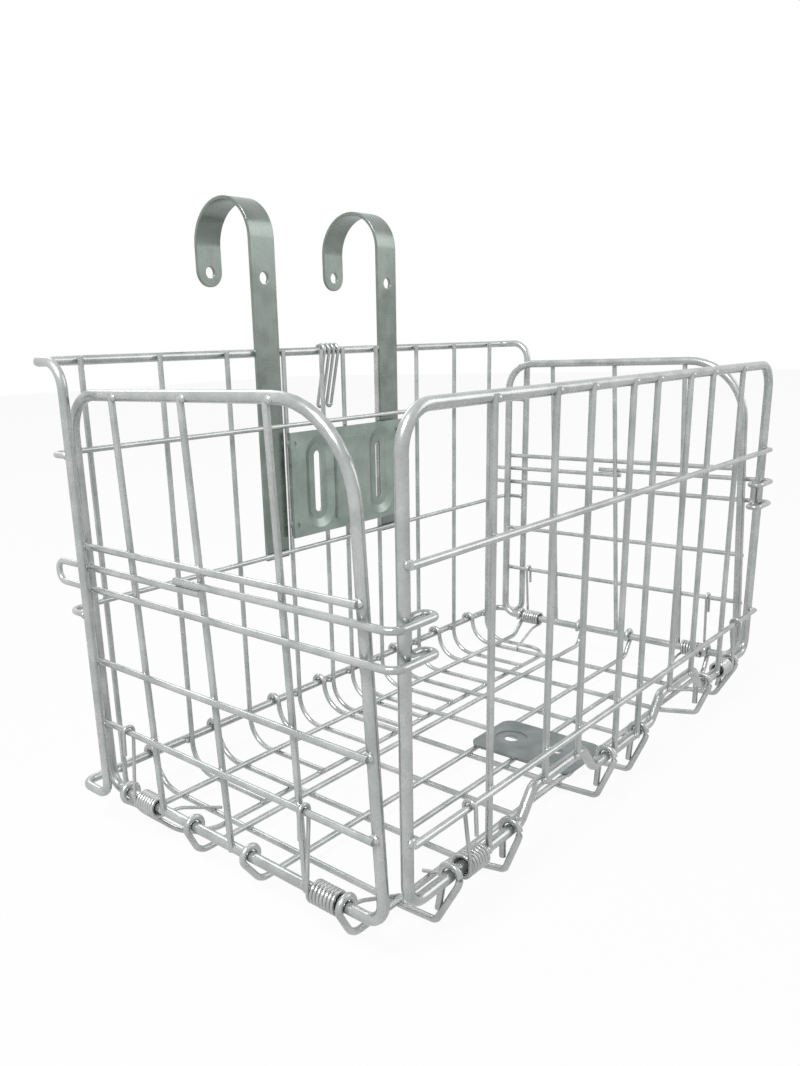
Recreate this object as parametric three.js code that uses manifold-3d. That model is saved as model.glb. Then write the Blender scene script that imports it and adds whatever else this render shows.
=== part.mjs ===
// Folding bicycle basket of welded wire: a back panel with hook straps, a floor
// tray hung in wire eyes below the rails, two end panels and a front panel that fold.
// Millimetres, +Z up, +X along the basket, +Y towards the bicycle. Heights are
// measured from the hinge rails of the ends until the whole part is set on z = 0.
import * as THREE from 'three';
import ManifoldModule from 'manifold-3d';

const wasm = await ManifoldModule();
wasm.setup();

// Wire and strip stock
const FRAME_R = 2.5;            // frame wire of the front and the ends
const BACK_R = 2.25;            // frame wire of the back
const WIRE_R = 1.5;             // grid wire of the floor, the front and the ends
const BACK_WIRE_R = 1.4;        // grid wire of the back
const KEEPER_R = 1;             // wire of the keeper bail
const SPRING_R = 0.9;           // spring wire
const SHEET_T = 1.5;            // pressed plates
const STRAP_T = 2;              // hook straps
const STRAP_W = 18;

// Overall sizes
const END_SPAN = 370;           // between the hinge rails of the two ends
const END_DEPTH = 182;          // an end panel along its foot
const END_HEIGHT = 193;
const FRONT_HEIGHT = 182;
const BACK_HEIGHT = 208;
const FLOOR_DROP = 14.1;        // from an end's rail down to the floor's cross wires
const FRONT_RAIL_UP = 8;        // the front's rail above those of the ends
const SIDE_RETURN = 23;         // the back's sides stand this far in front of it

// Clearances
const TOUCH = 0.15;             // between pieces that are welded or rest on each other
const EYE_PLAY = 0.4;           // between a hinge eye and its rail
const POST_PLAY = 0.8;          // between the front's posts and the ends
const FRONT_PLAY = 1.5;         // between the foot of an end and the front
const BACK_PLAY = 0.85;         // between the foot of an end and the back's eyes
const SIDE_PLAY = 0.55;         // between a latch and the back's side post
const UNDER_PLAY = 0.4;         // between the floor and the feet under it
const WELD = 0.5;               // how deep crossing wires sink into each other

// Places that follow from those sizes
const Z_END = 0;
const Z_BACK = 0;
const Z_FRONT = Z_END + FRONT_RAIL_UP;
const Z_TOP_END = Z_END + END_HEIGHT;
const Z_TOP_FRONT = Z_FRONT + FRONT_HEIGHT;
const Z_TOP_BACK = Z_BACK + BACK_HEIGHT;
const Z_CROSS = Z_END - FLOOR_DROP;
const Z_LONG = Z_CROSS - 2 * WIRE_R + WELD + 0.1;
const Z_FOOT = Z_CROSS - WIRE_R - UNDER_PLAY - BACK_WIRE_R;
const Z_BAR = Z_FOOT - 2 * BACK_WIRE_R + WELD + 0.1;

const UPRIGHT_OUT = 1.6;        // a panel's uprights stand this far outside its frame wire
const LATH_OUT = FRAME_R + WIRE_R + 0.1;                     // cross wires lie on the posts
const LATCH_OUT = UPRIGHT_OUT + 2 * WIRE_R + 0.1;            // latches lie on the uprights

const X_END = END_SPAN / 2;
const X_POST = X_END - FRAME_R - POST_PLAY - FRAME_R;
const X_LATCH = X_END + LATCH_OUT;
const X_SIDE = X_LATCH + WIRE_R + SIDE_PLAY + BACK_R;
const Y_FOOT = END_DEPTH / 2;
const EYE_R = FRAME_R + WIRE_R + EYE_PLAY;
const BACK_EYE_R = BACK_R + WIRE_R + EYE_PLAY;
const Y_FRONT = -(Y_FOOT + FRAME_R + FRONT_PLAY + FRAME_R);
const Y_BACK = Y_FOOT + FRAME_R + BACK_PLAY + WIRE_R + BACK_EYE_R;
const Y_SIDE = Y_BACK - SIDE_RETURN;

// Bend radii of the frames
const BACK_BEND_R = 7;
const SIDE_TOP_R = 12;
const SIDE_FOOT_R = 8;
const RAIL_END_R = 9;           // where a hinge rail turns up into its posts
const FRONT_TOP_R = 15;
const END_BACK_R = 18;
const END_FRONT_R = 38;

// The round of wires and coils
const FRAME_SIDES = 8;
const WIRE_SIDES = 6;
const SPRING_SIDES = 5;
const BEND_STEP = 24;           // degrees of a bend between two rings
const EYE_STEPS = 6;            // rings along an eye

const V = (x, y, z) => new THREE.Vector3(x, y, z);
const X_AXIS = V(1, 0, 0);
const Y_AXIS = V(0, 1, 0);
const Z_AXIS = V(0, 0, 1);
const bothSides = (x) => [-x, x];

// The centre line of a bent wire, from corners given as [x, y, z, bend radius].
function bent(corners, closed = false) {
  const count = corners.length;
  const place = (i) => V(...corners[(i + count) % count].slice(0, 3));
  return corners.flatMap(([x, y, z, radius = 0], i) => {
    const corner = V(x, y, z);
    const isEnd = !closed && (i === 0 || i === count - 1);
    if (isEnd || radius === 0) return [corner];
    const back = place(i - 1).sub(corner).normalize();
    const on = place(i + 1).sub(corner).normalize();
    const opening = back.angleTo(on);
    const reach = radius / Math.tan(opening / 2);
    const centre = corner.clone()
      .addScaledVector(back.clone().add(on).normalize(), radius / Math.sin(opening / 2));
    const first = corner.clone().addScaledVector(back, reach).sub(centre);
    const last = corner.clone().addScaledVector(on, reach).sub(centre);
    const axis = first.clone().cross(last).normalize();
    const turn = Math.PI - opening;
    const steps = Math.max(2, Math.ceil(THREE.MathUtils.radToDeg(turn) / BEND_STEP));
    return Array.from({ length: steps + 1 }, (_, k) => (
      first.clone().applyAxisAngle(axis, (turn * k) / steps).add(centre)));
  });
}

// Points of an arc about a centre, in the plane of two unit vectors.
function arc(centre, u, w, radius, fromDeg, toDeg, steps) {
  return Array.from({ length: steps + 1 }, (_, k) => {
    const t = THREE.MathUtils.degToRad(fromDeg + ((toDeg - fromDeg) * k) / steps);
    return centre.clone()
      .addScaledVector(u, radius * Math.cos(t))
      .addScaledVector(w, radius * Math.sin(t));
  });
}

// One wire: a closed tube along a centre line, its rings carried along without twist.
function wire(points, radius, sides, closed = false) {
  const count = points.length;
  const at = (i) => (closed ? points[(i + count) % count] : points[Math.min(Math.max(i, 0), count - 1)]);
  const ways = points.map((p, i) => {
    const back = p.clone().sub(at(i - 1));
    const on = at(i + 1).clone().sub(p);
    return back.normalize().add(on.normalize()).normalize();
  });
  const aside = Math.abs(ways[0].z) < 0.9 ? Z_AXIS : X_AXIS;
  const normals = [aside.clone().projectOnPlane(ways[0]).normalize()];
  const turn = new THREE.Quaternion();
  for (let i = 1; i < count; i += 1) {
    turn.setFromUnitVectors(ways[i - 1], ways[i]);
    normals.push(normals[i - 1].clone().applyQuaternion(turn));
  }
  let twist = 0;
  if (closed) {
    turn.setFromUnitVectors(ways[count - 1], ways[0]);
    const came = normals[count - 1].clone().applyQuaternion(turn);
    const across = ways[0].clone().cross(normals[0]);
    twist = -Math.atan2(came.dot(across), came.dot(normals[0]));
  }
  const position = [];
  points.forEach((p, i) => {
    const across = ways[i].clone().cross(normals[i]);
    for (let k = 0; k < sides; k += 1) {
      const t = (2 * Math.PI * (k + 0.5)) / sides + (twist * i) / count;
      const q = p.clone()
        .addScaledVector(normals[i], radius * Math.cos(t))
        .addScaledVector(across, radius * Math.sin(t));
      position.push(q.x, q.y, q.z);
    }
  });
  const index = [];
  const ring = (i, k) => (i % count) * sides + (k % sides);
  for (let i = 0; i < (closed ? count : count - 1); i += 1) {
    for (let k = 0; k < sides; k += 1) {
      index.push(ring(i, k), ring(i, k + 1), ring(i + 1, k + 1));
      index.push(ring(i, k), ring(i + 1, k + 1), ring(i + 1, k));
    }
  }
  if (!closed) {
    for (let k = 1; k < sides - 1; k += 1) {
      index.push(ring(0, 0), ring(0, k + 1), ring(0, k));
      index.push(ring(count - 1, 0), ring(count - 1, k), ring(count - 1, k + 1));
    }
  }
  const geometry = new THREE.BufferGeometry();
  geometry.setAttribute('position', new THREE.Float32BufferAttribute(position, 3));
  geometry.setIndex(index);
  return geometry;
}

const frameWire = (corners, radius) => wire(bent(corners, true), radius, FRAME_SIDES, true);
const gridWire = (corners, radius = WIRE_R) => wire(bent(corners), radius, WIRE_SIDES);

// Solids for joins and cuts: a geometry's split vertices are merged by their place.
function solid(geometry) {
  const flat = geometry.index ? geometry.toNonIndexed() : geometry;
  const place = flat.attributes.position;
  const seen = new Map();
  const vertices = [];
  const corners = [];
  for (let i = 0; i < place.count; i += 1) {
    const p = [place.getX(i), place.getY(i), place.getZ(i)];
    const key = p.map((c) => Math.round(c * 1e4)).join(' ');
    if (!seen.has(key)) {
      seen.set(key, seen.size);
      vertices.push(...p);
    }
    corners.push(seen.get(key));
  }
  const triangles = [];
  for (let i = 0; i < corners.length; i += 3) {
    const [a, b, c] = corners.slice(i, i + 3);
    if (a !== b && b !== c && c !== a) triangles.push(a, b, c);
  }
  return new wasm.Manifold(new wasm.Mesh({
    numProp: 3,
    vertProperties: new Float32Array(vertices),
    triVerts: new Uint32Array(triangles),
  }));
}

function geometryOf(made) {
  const { vertProperties, triVerts } = made.getMesh();
  const geometry = new THREE.BufferGeometry();
  geometry.setAttribute('position', new THREE.Float32BufferAttribute(Array.from(vertProperties), 3));
  geometry.setIndex(Array.from(triVerts));
  return geometry;
}

const weld = (pieces) => geometryOf(pieces.map(solid).reduce((all, next) => all.add(next)));
const cut = (base, tools) => geometryOf(
  tools.map(solid).reduce((left, tool) => left.subtract(tool), solid(base)),
);

// A block given by its lowest and highest corners.
function block(low, high) {
  const size = high.clone().sub(low);
  const middle = low.clone().add(high).multiplyScalar(0.5);
  return new THREE.BoxGeometry(size.x, size.y, size.z).translate(middle.x, middle.y, middle.z);
}

// A round bar along Y.
function bar(radius, x, z, yFrom, yTo, sides) {
  return new THREE.CylinderGeometry(radius, radius, yTo - yFrom, sides).translate(x, (yFrom + yTo) / 2, z);
}

const basket = new THREE.Group();
basket.name = 'folding_basket';
const ZINC = { color: 0x9fa3a3, roughness: 0.42, metalness: 0.9 };
const STRIP = { color: 0x7f8783, roughness: 0.5, metalness: 0.85 };
const SPRING = { color: 0x8f9393, roughness: 0.38, metalness: 0.95 };
function add(name, geometry, finish) {
  const piece = new THREE.Mesh(geometry, new THREE.MeshStandardMaterial(finish));
  piece.name = name;
  basket.add(piece);
}

// The right end mirrors the left one. Its triangles are turned over, to face outwards.
function mirrored(geometry) {
  const other = geometry.clone().scale(-1, 1, 1);
  return other.setIndex(Array.from(geometry.index.array).reverse());
}

// Hook straps
const STRAP_X = 53;
const STRAP_Y = Y_BACK - BACK_R - 0.25 - STRAP_T / 2;
const HOOK_R = 22.5;
const HOOK_UP = 60;             // the hook's centre above the back's top rail
const HOOK_TIP = 22;            // straight length from the hook's round to its tip
const HOOK_HOLE_R = 3.2;
const HOOK_STEPS = 12;
const Z_HOOK = Z_TOP_BACK + HOOK_UP;
const Y_TIP = STRAP_Y + 2 * HOOK_R;
const Z_TIP = Z_HOOK - HOOK_TIP;

// Back panel
const KEEPER_X = [1.9, 6];      // legs of the bail, each side of the middle
const Y_UPRIGHT = STRAP_Y + STRAP_T / 2 - BACK_WIRE_R - 0.1;
const Y_LATH = Y_UPRIGHT - 2 * BACK_WIRE_R + WELD + 0.1;
const BACK_LATHS = [0.803, 0.447].map((share) => Z_BACK + share * BACK_HEIGHT);
const BACK_FEET_X = [           // uprights that run on under the floor as feet
  KEEPER_X[1] + KEEPER_R + BACK_WIRE_R + 1.1,
  STRAP_X - STRAP_W / 2 - BACK_WIRE_R - 1.6,
  0.449 * X_END,
  0.686 * X_END,
];
const BAR_X = 0.93 * X_END;     // the outer uprights, joined by the bar across the feet
const BAR_Y = 0.43 * Y_FOOT;
const FOOT_R = 16;
const BAR_R = 18;

add('back_frame', frameWire([
  [-X_SIDE, Y_BACK, Z_TOP_BACK, BACK_BEND_R], [X_SIDE, Y_BACK, Z_TOP_BACK, BACK_BEND_R],
  [X_SIDE, Y_SIDE, Z_TOP_BACK, SIDE_TOP_R], [X_SIDE, Y_SIDE, Z_BACK, SIDE_FOOT_R],
  [X_SIDE, Y_BACK, Z_BACK, BACK_BEND_R], [-X_SIDE, Y_BACK, Z_BACK, BACK_BEND_R],
  [-X_SIDE, Y_SIDE, Z_BACK, SIDE_FOOT_R], [-X_SIDE, Y_SIDE, Z_TOP_BACK, SIDE_TOP_R],
], BACK_R), ZINC);

{
  const top = Z_TOP_BACK + BACK_R / 2;
  const feet = BACK_FEET_X.flatMap(bothSides).map((x) => gridWire([
    [x, Y_UPRIGHT, top], [x, Y_UPRIGHT, Z_FOOT, FOOT_R], [x, BAR_Y - 2, Z_FOOT],
  ], BACK_WIRE_R));
  const outer = gridWire([
    [-BAR_X, Y_UPRIGHT, top], [-BAR_X, Y_UPRIGHT, Z_BAR, FOOT_R], [-BAR_X, BAR_Y, Z_BAR, BAR_R],
    [BAR_X, BAR_Y, Z_BAR, BAR_R], [BAR_X, Y_UPRIGHT, Z_BAR, FOOT_R], [BAR_X, Y_UPRIGHT, top],
  ], BACK_WIRE_R);
  const sideEnd = Y_SIDE + BACK_R + TOUCH;
  const laths = BACK_LATHS.map((z) => gridWire([
    [-X_SIDE, sideEnd, z], [-X_SIDE, Y_LATH, z, BACK_BEND_R],
    [X_SIDE, Y_LATH, z, BACK_BEND_R], [X_SIDE, sideEnd, z],
  ], BACK_WIRE_R));
  add('back_grid', weld([outer, ...feet, ...laths]), ZINC);
}

function strap(x) {
  const line = [
    [STRAP_Y, BACK_LATHS[1] - 3], [STRAP_Y, Z_HOOK],
    ...arc(V(STRAP_Y + HOOK_R, Z_HOOK, 0), X_AXIS, Y_AXIS, HOOK_R, 180, 0, HOOK_STEPS)
      .slice(1).map((p) => [p.x, p.y]),
    [Y_TIP, Z_TIP],
  ];
  const edge = (side) => line.map(([y, z], i) => {
    const [ya, za] = line[Math.max(i - 1, 0)];
    const [yb, zb] = line[Math.min(i + 1, line.length - 1)];
    const length = Math.hypot(yb - ya, zb - za);
    const out = (side * STRAP_T) / 2 / length;
    return new THREE.Vector2(y - out * (zb - za), z + out * (yb - ya));
  });
  const profile = new THREE.Shape([...edge(1), ...edge(-1).reverse()]);
  const strip = new THREE.ExtrudeGeometry(profile, { depth: STRAP_W, bevelEnabled: false })
    .applyMatrix4(new THREE.Matrix4().makeBasis(Y_AXIS, Z_AXIS, X_AXIS))
    .translate(x - STRAP_W / 2, 0, 0);
  const holes = [
    bar(HOOK_HOLE_R, x, Z_TIP + 1.5, STRAP_Y - STRAP_T, STRAP_Y + STRAP_T, 14),
    bar(HOOK_HOLE_R, x, Z_TIP + STRAP_W / 2 - 1, Y_TIP - STRAP_T, Y_TIP + STRAP_T, 14),
  ];
  const middle = Z_TIP + STRAP_W / 2;
  const corners = cut(
    block(V(x - STRAP_W, Y_TIP - STRAP_T, Z_TIP - STRAP_T), V(x + STRAP_W, Y_TIP + STRAP_T, middle)),
    [bar(STRAP_W / 2, x, middle, Y_TIP - 2 * STRAP_T, Y_TIP + 2 * STRAP_T, 24)],
  );
  return cut(strip, [...holes, corners]);
}
add('strap_left', strap(-STRAP_X), STRIP);
add('strap_right', strap(STRAP_X), STRIP);

// Bracket plate: off the middle, held to the right strap and to an upright
const PLATE_X = 9;
{
  const face = Y_LATH - BACK_WIRE_R - 0.3;
  const low = BACK_LATHS[1] + 8;
  const high = BACK_LATHS[0] - 4;
  const middle = (low + high) / 2;
  const half = STRAP_X - 0.5;
  const slotX = [-1, 1].map((side) => PLATE_X + side * 0.54 * STRAP_X);
  const slotHalf = (high - low) / 4;
  const held = [
    { x: 0.5 - BACK_FEET_X[1], to: Y_UPRIGHT - BACK_WIRE_R - TOUCH },
    { x: STRAP_X, to: STRAP_Y - STRAP_T / 2 - TOUCH },
  ];
  const oval = (x, halfLength, radius, yFrom, yTo) => {
    const outline = new THREE.Shape();
    outline.absarc(0, halfLength, radius, 0, Math.PI, false);
    outline.absarc(0, -halfLength, radius, Math.PI, 2 * Math.PI, false);
    return new THREE.ExtrudeGeometry(outline, { depth: yTo - yFrom, bevelEnabled: false, curveSegments: 8 })
      .applyMatrix4(new THREE.Matrix4().makeBasis(X_AXIS, Z_AXIS, Y_AXIS.clone().negate()))
      .translate(x, yTo, middle);
  };
  const rivets = held.flatMap(({ x, to }) => [low + 7, high - 7].map((z) => ({ x, z, to })));
  const sheet = block(V(PLATE_X - half, face - SHEET_T, low), V(PLATE_X + half, face, high));
  const raised = slotX.map((x) => oval(x, slotHalf + 1.5, 8.5, face - SHEET_T - 1.2, face - 0.3));
  const bosses = rivets.map(({ x, z, to }) => bar(2.6, x, z, face - 0.6, to, 12));
  const slots = slotX.map((x) => oval(x, slotHalf, 3, face - 7, face + 5));
  const panelHalf = 0.31 * STRAP_X;
  const panel = block(
    V(PLATE_X - panelHalf, face - SHEET_T - 1, low + 6),
    V(PLATE_X + panelHalf, face - SHEET_T + 0.6, high - 6),
  );
  const dimples = rivets.map(({ x, z }) => bar(1.8, x, z, face - SHEET_T - 1, face - SHEET_T + 0.7, 10));
  add('bracket_plate', cut(weld([sheet, ...raised, ...bosses]), [...slots, panel, ...dimples]), STRIP);
}

// Keeper bail: its legs cross under the rail, so it hangs plumb
{
  const radius = BACK_R + KEEPER_R + 0.35;
  const zLow = Z_TOP_BACK - 31;
  const [near, far] = KEEPER_X;
  const over = (x, fromDeg, toDeg) => arc(
    V(x, Y_BACK, Z_TOP_BACK), Y_AXIS, Z_AXIS, radius, fromDeg, toDeg, EYE_STEPS,
  );
  const end = (xa, xb) => arc(
    V((xa + xb) / 2, Y_BACK + radius, zLow), X_AXIS, Z_AXIS, (xb - xa) / 2, 180, 360, 4,
  );
  add('keeper', wire([
    ...over(-far, -10, 180), ...end(-far, -near), ...over(-near, 180, 0),
    ...over(near, 0, 180), ...end(near, far), ...over(far, 180, -10),
  ], KEEPER_R, WIRE_SIDES), ZINC);
}

// Floor tray
const LONG_X = [0.1, 0.322, 0.584, 0.822].map((share) => share * X_END);
const FRONT_EYES = [true, false, true, true];       // long wires that end in a front eye
const CROSS_Y = [0.79, 0.2366, -0.183, -0.79].map((share) => share * Y_FOOT);
const SHORT_Y = -0.45 * Y_FOOT;                     // the cross wire without eyes
const FRONT_FOOT_IN = -1.8;     // where a wire's foot stands, inwards of the rail it hangs on
const END_FOOT_IN = 2.5;
const LIP_BESIDE = 3;           // from there to the tip of the eye's lip
const FLOOR_BEND_R = 4;

// An eye over a rail, drawn together below it: from the tip of its lip, over the rail and
// down to the foot where the wire turns in. u points into the basket.
function hungEnd(rail, u, zFloor, footIn) {
  const at = (inwards, z) => rail.clone().addScaledVector(u, inwards).setZ(z);
  const tip = at(footIn + LIP_BESIDE, zFloor + WIRE_R + 2 * EYE_PLAY);
  const round = arc(rail, u, Z_AXIS, EYE_R, 0, 180, EYE_STEPS);
  const corner = [round[EYE_STEPS], at(footIn, zFloor), at(Y_FOOT, zFloor)]
    .map((p) => [p.x, p.y, p.z, FLOOR_BEND_R]);
  return [tip, ...round, ...bent(corner).slice(1, -1)];
}

{
  const rise = Z_BACK - Z_LONG;
  const long = (x, hasEye) => {
    const front = hasEye
      ? hungEnd(V(x, Y_FRONT, Z_FRONT), Y_AXIS, Z_LONG, FRONT_FOOT_IN)
      : [V(x, CROSS_Y[3] - WIRE_R, Z_LONG)];
    const climb = arc(V(x, Y_BACK - BACK_EYE_R - rise, Z_BACK), Y_AXIS, Z_AXIS, rise, -90, 0, 4);
    const round = arc(V(x, Y_BACK, Z_BACK), Y_AXIS, Z_AXIS, BACK_EYE_R, 180, -25, EYE_STEPS);
    return wire([...front, ...climb, ...round.slice(1)], WIRE_R, WIRE_SIDES);
  };
  const cross = (y) => {
    const left = hungEnd(V(-X_END, y, Z_END), X_AXIS, Z_CROSS, END_FOOT_IN);
    const right = hungEnd(V(X_END, y, Z_END), X_AXIS.clone().negate(), Z_CROSS, END_FOOT_IN);
    return wire([...left, ...right.reverse()], WIRE_R, WIRE_SIDES);
  };
  const shortEnd = LONG_X[2] + WIRE_R;
  add('floor_tray', weld([
    ...LONG_X.flatMap((x, i) => bothSides(x).map((side) => long(side, FRONT_EYES[i]))),
    ...CROSS_Y.map(cross),
    gridWire([[-shortEnd, SHORT_Y, Z_CROSS], [shortEnd, SHORT_Y, Z_CROSS]]),
  ]), ZINC);
}

// Floor plate: it lies on two cross wires and its ears curl round them
{
  const left = LONG_X[0] - 33.5;
  const right = LONG_X[0] + 8.5;
  const reach = WIRE_R + EYE_PLAY + SHEET_T;
  const front = CROSS_Y[3] - reach;
  const back = CROSS_Y[2] + reach;
  const low = Z_CROSS + WIRE_R + 0.3;
  const round = 7;
  const outline = new THREE.Shape();
  outline.moveTo(left + round, front);
  outline.absarc(right - round, front + round, round, -Math.PI / 2, 0, false);
  outline.absarc(right - round, back - round, round, 0, Math.PI / 2, false);
  outline.absarc(left + round, back - round, round, Math.PI / 2, Math.PI, false);
  outline.absarc(left + round, front + round, round, Math.PI, 1.5 * Math.PI, false);
  for (const [fromBack, radius] of [[15.5, 4], [44.5, 3]]) {
    const hole = new THREE.Path();
    hole.absarc(left + 21, back - fromBack, radius, 0, 2 * Math.PI, true);
    outline.holes.push(hole);
  }
  const sheet = new THREE.ExtrudeGeometry(outline, { depth: SHEET_T, bevelEnabled: false, curveSegments: 5 })
    .translate(0, 0, low);
  const earLow = low - 2 * WIRE_R - 2.5;
  const ears = [[left + 8, left + 14], [right - 13.5, right - 11]].flatMap(([xa, xb]) => [
    block(V(xa, back - SHEET_T, earLow), V(xb, back, low + 0.3)),
    block(V(xa, back - 4, earLow), V(xb, back, earLow + 1)),
    block(V(xa, front, earLow), V(xb, front + SHEET_T, low + 0.3)),
    block(V(xa, front, earLow), V(xb, front + 4, earLow + 1)),
  ]);
  add('floor_plate', weld([sheet, ...ears]), STRIP);
}

// Front panel: its rail lifts where the latches of the folded ends lie
const LATCH_UP = 0.575 * END_HEIGHT;
const RAISE = 13;
const LIFT_X = X_END - LATCH_UP;
const LIFT_R = 7;
const FRONT_LATHS = [0.72, 0.154].map((share) => Z_FRONT + share * FRONT_HEIGHT);
{
  const lift = [[-41, 0], [-29, RAISE], [16, RAISE], [27, 0]]
    .map(([dx, up]) => [LIFT_X + dx, Y_FRONT, Z_FRONT + up, LIFT_R]);
  const other = lift.map(([x, ...rest]) => [-x, ...rest]).reverse();
  add('front_frame', frameWire([
    [-X_POST, Y_FRONT, Z_TOP_FRONT, FRONT_TOP_R], [-X_POST, Y_FRONT, Z_FRONT, RAIL_END_R],
    ...other, ...lift,
    [X_POST, Y_FRONT, Z_FRONT, RAIL_END_R], [X_POST, Y_FRONT, Z_TOP_FRONT, FRONT_TOP_R],
  ], FRAME_R), ZINC);

  const clear = FRAME_R + TOUCH;
  const upright = (x, foot) => gridWire([
    [x, Y_FRONT - UPRIGHT_OUT, foot + clear], [x, Y_FRONT - UPRIGHT_OUT, Z_TOP_FRONT - clear],
  ]);
  const uprights = [
    [0.0725 * X_POST, Z_FRONT], [LIFT_X - 21.5, Z_FRONT + RAISE],
    [LIFT_X + 8.5, Z_FRONT + RAISE], [0.7115 * X_POST, Z_FRONT],
  ].flatMap(([x, foot]) => bothSides(x).map((side) => upright(side, foot)));
  const laths = FRONT_LATHS.map((z) => gridWire([
    [-X_POST - 1, Y_FRONT - LATH_OUT, z], [X_POST + 1, Y_FRONT - LATH_OUT, z],
  ]));
  add('front_grid', weld([...uprights, ...laths]), ZINC);
}

// End panels
const END_POST_Y = Y_FOOT - 4.5;
const END_LEAN = 10;            // how far the other post leans in at the top
const END_LATHS = [0.648, 0.3575, 0.1917].map((share) => Z_END + share * END_HEIGHT);
const END_UPRIGHTS = [[0.465, 0.57], [-0.07, 0.055], [-0.57, -0.475]];  // foot and top, shares of Y_FOOT
const endFrame = frameWire([
  [-X_END, -Y_FOOT, Z_END, RAIL_END_R], [-X_END, END_POST_Y, Z_END, RAIL_END_R],
  [-X_END, END_POST_Y, Z_TOP_END, END_BACK_R], [-X_END, END_LEAN - Y_FOOT, Z_TOP_END, END_FRONT_R],
], FRAME_R);

// upperTip is where the upper lath ends, inwards of the leaning post.
const endGrid = (upperTip) => {
  const clear = FRAME_R + 2 * TOUCH;
  const uprights = END_UPRIGHTS.map(([foot, top]) => gridWire([
    [-X_END - UPRIGHT_OUT, foot * Y_FOOT, Z_END + clear],
    [-X_END - UPRIGHT_OUT, top * Y_FOOT, Z_TOP_END - clear],
  ]));
  const leanAt = (z) => END_LEAN * ((z - Z_END) / END_HEIGHT) - Y_FOOT;
  const laths = END_LATHS.map((z, i) => gridWire([
    [-X_END - LATH_OUT, END_POST_Y + 1, z],
    [-X_END - LATH_OUT, leanAt(z) + (i === 0 ? upperTip : -1), z],
  ]));
  return weld([...uprights, ...laths]);
};

// The latch: one wire laid round into a long loop, its two ends side by side in the
// upper leg. Its front end hooks round the front panel's post, and its back end
// stands inside the back panel's side post.
const LATCH_HALF = 6;           // half the height of the loop
const LAP = 8;                  // half the length of the lap
const LAP_Y = 6;                // the middle of the lap
const LATCH_PAST = 6;           // the loop's back end stands this far past the back's rail
const latch = (() => {
  const low = Z_END + LATCH_UP - LATCH_HALF;
  const highBack = Z_END + LATCH_UP + LATCH_HALF - WIRE_R - TOUCH;
  const highFront = highBack + 2 * WIRE_R + 2 * TOUCH;
  const before = Y_FRONT - FRAME_R - WIRE_R - 0.5;
  const behind = before + 6.4;
  const inner = -X_POST + FRAME_R + WIRE_R + 0.5;
  const tip = inner + 9;
  const back = Y_BACK + LATCH_PAST;
  return wire(bent([
    [-X_LATCH, LAP_Y - LAP, highBack], [-X_LATCH, back, highBack, 5], [-X_LATCH, back, low, 5],
    [-X_LATCH, before, low, 5], [tip, before, low, 3.1], [tip, behind, low, 3.1],
    [inner, behind, low, 3.5], [inner, behind, highFront, 3.5],
    [tip, behind, highFront, 3.1], [tip, before, highFront, 3.1],
    [-X_LATCH, before, highFront, 5], [-X_LATCH, LAP_Y + LAP, highFront],
  ]), WIRE_R, WIRE_SIDES);
})();

add('left_frame', endFrame, ZINC);
add('left_grid', endGrid(-1), ZINC);
add('left_latch', latch, ZINC);
add('right_frame', mirrored(endFrame), ZINC);
add('right_grid', mirrored(endGrid(FRAME_R)), ZINC);   // clear of the folded front's rail
add('right_latch', mirrored(latch), ZINC);

// Torsion springs, coiled round the hinge rails
const COIL_R = FRAME_R + SPRING_R + 1;
const COIL_TURNS = 5.75;
const COIL_PITCH = 2.35;
const COIL_STEPS = 8;
const COIL_LENGTH = COIL_TURNS * COIL_PITCH;
let leastGap = Infinity;

// along runs along the rail and u into the basket. One leg reaches in over the floor
// and the other hooks over a lath of the panel; their points are given as distances
// from the rail's axis, inwards and upwards.
function spring(rail, along, u, floorLeg, lath) {
  const at = (s, inwards, up) => rail.clone()
    .addScaledVector(along, s).addScaledVector(u, inwards).addScaledVector(Z_AXIS, up);
  const coil = Array.from({ length: COIL_TURNS * COIL_STEPS + 1 }, (_, k) => {
    const t = 2 * Math.PI * (k / COIL_STEPS - 0.25);
    return at((COIL_PITCH * k) / COIL_STEPS, COIL_R * Math.cos(t), COIL_R * Math.sin(t));
  });
  coil.forEach((p, i) => coil.slice(i + COIL_STEPS - 2).forEach((q) => {
    leastGap = Math.min(leastGap, p.distanceTo(q) - 2 * SPRING_R);
  }));
  const hook = [
    [3, 0.4], [1.7, 2.3], [0, 2.8], [-1.9, 2], [-2.8, -0.5], [-2.9, -12],
  ].map(([inwards, up]) => [inwards - LATH_OUT, up + lath]);
  const panelLeg = [[COIL_R, 2 * COIL_R], [1, 0.6 * lath], ...hook];
  return wire([
    ...floorLeg.map(([inwards, up]) => at(0, inwards, up)),
    ...coil,
    ...panelLeg.map(([inwards, up]) => at(COIL_LENGTH, inwards, up)),
  ], SPRING_R, SPRING_SIDES);
}

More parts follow.
